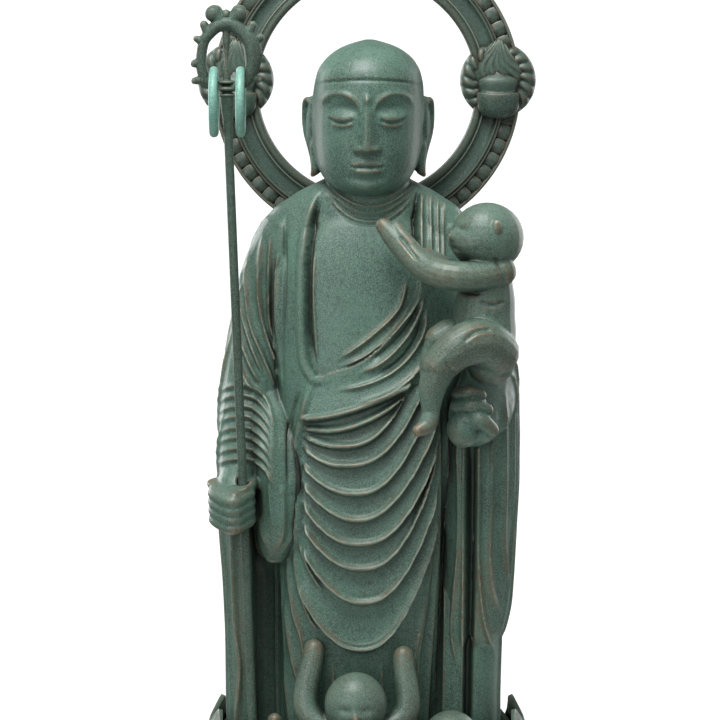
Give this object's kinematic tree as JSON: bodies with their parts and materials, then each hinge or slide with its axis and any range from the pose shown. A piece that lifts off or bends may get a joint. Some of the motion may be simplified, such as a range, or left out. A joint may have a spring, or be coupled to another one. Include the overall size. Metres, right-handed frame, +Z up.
{
  "type": "jizo statue",
  "caption": "Standing robed monk statue in green patinated bronze with ringed staff, infant on the arm, children at the feet and a halo, on an open lotus.",
  "frame": {"origin": "middle of the flat underside of the lotus foot", "axes": "+Z up, the statue looks along -Y, the staff is on its right side at -X and the infant on its left side at +X"},
  "size_m": [0.2762, 0.263, 0.7882],
  "materials": {
    "green_bronze": "cast bronze with a mottled green patina, rubbed brown on the crests and waxed",
    "dark_bronze": "cast bronze with a darker green to brown patina",
    "turquoise_bronze": "cast bronze with a brighter turquoise patina"
  },
  "bodies": {
    "root": {"jizo_figure": "green_bronze", "infant_in_arm": "green_bronze", "child_centre": "green_bronze", "child_right": "green_bronze", "child_left": "green_bronze", "lotus_pedestal": "green_bronze", "staff": "green_bronze", "staff_ring_left": "turquoise_bronze", "staff_ring_right": "turquoise_bronze", "halo": "dark_bronze"}
  },
  "joints": []
}
